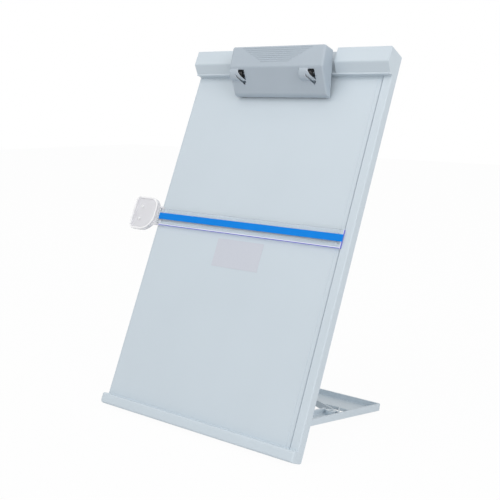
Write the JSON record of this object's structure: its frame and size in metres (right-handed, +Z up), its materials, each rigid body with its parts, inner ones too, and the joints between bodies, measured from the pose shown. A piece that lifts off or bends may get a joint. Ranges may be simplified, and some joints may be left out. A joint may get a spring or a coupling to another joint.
{
  "type": "copy holder",
  "caption": "Leaning desktop copy holder with a bottom ledge, a sprung paper clip, a sliding line guide and a fold-out rear stand.",
  "frame": {"origin": "middle of the flat edge on which the board's bottom rests on the desk", "axes": "+X to the right along the board, -Y towards the reader, +Z up; the desk is at Z 0"},
  "size_m": [0.2768, 0.1792, 0.3745],
  "materials": {
    "board_plastic": "satin moulded polystyrene, light cool grey",
    "clip_plastic": "satin moulded ABS, slightly darker grey",
    "label_film": "printed film, plain lilac grey",
    "clear_plastic": "clear moulded polystyrene",
    "clear_strip": "clear extruded acrylic",
    "blue_film": "glossy blue line",
    "pin_steel": "drawn steel wire",
    "spring_steel": "dark spring steel",
    "rivet_metal": "polished heads",
    "soft_rubber": "matt"
  },
  "bodies": {
    "board": {"backboard": "board_plastic", "blank_label": "label_film", "clip_pin_left": "pin_steel", "clip_pin_right": "pin_steel", "clip_spring_left": "spring_steel", "clip_spring_right": "spring_steel", "stand_hinge_pin_left": "pin_steel", "stand_hinge_pin_right": "pin_steel", "stand_washers_left": "spring_steel", "stand_washers_right": "spring_steel"},
    "clip": {"clip_body": "clip_plastic", "jaw_pad": "soft_rubber"},
    "slider": {"slider_front": "clear_plastic", "slider_back": "clear_plastic", "slider_rivets": "rivet_metal", "friction_pad": "soft_rubber", "guide_hinge_pin": "pin_steel"},
    "guide": {"guide_strip": "clear_strip", "blue_line": "blue_film"},
    "stand": {"stand_frame": "board_plastic", "stand_foot_left": "soft_rubber", "stand_foot_right": "soft_rubber"}
  },
  "joints": [
    {"name": "clip_pivot", "type": "hinge", "parent": "board", "child": "clip", "pos_m": [0, 0.12453, 0.34678], "axis": [-1, 0, 0], "range_deg": [0, 22], "stiffness_Nm_per_rad": 0.26, "springref_deg": -34.38, "deforming": ["clip_spring_left", "clip_spring_right"]},
    {"name": "slider_slide", "type": "slide", "parent": "board", "child": "slider", "axis": [0, 0.4115, 0.9114], "range_m": [-0.175, 0.125]},
    {"name": "guide_hinge", "type": "hinge", "parent": "slider", "child": "guide", "pos_m": [-0.1193, 0.07563, 0.19353], "axis": [0, -0.4115, -0.9114], "range_deg": [0, 110]},
    {"name": "stand_hinge", "type": "hinge", "parent": "board", "child": "stand", "pos_m": [0, 0.01287, 0.03315], "axis": [1, 0, 0], "range_deg": [0, 76.5]}
  ]
}
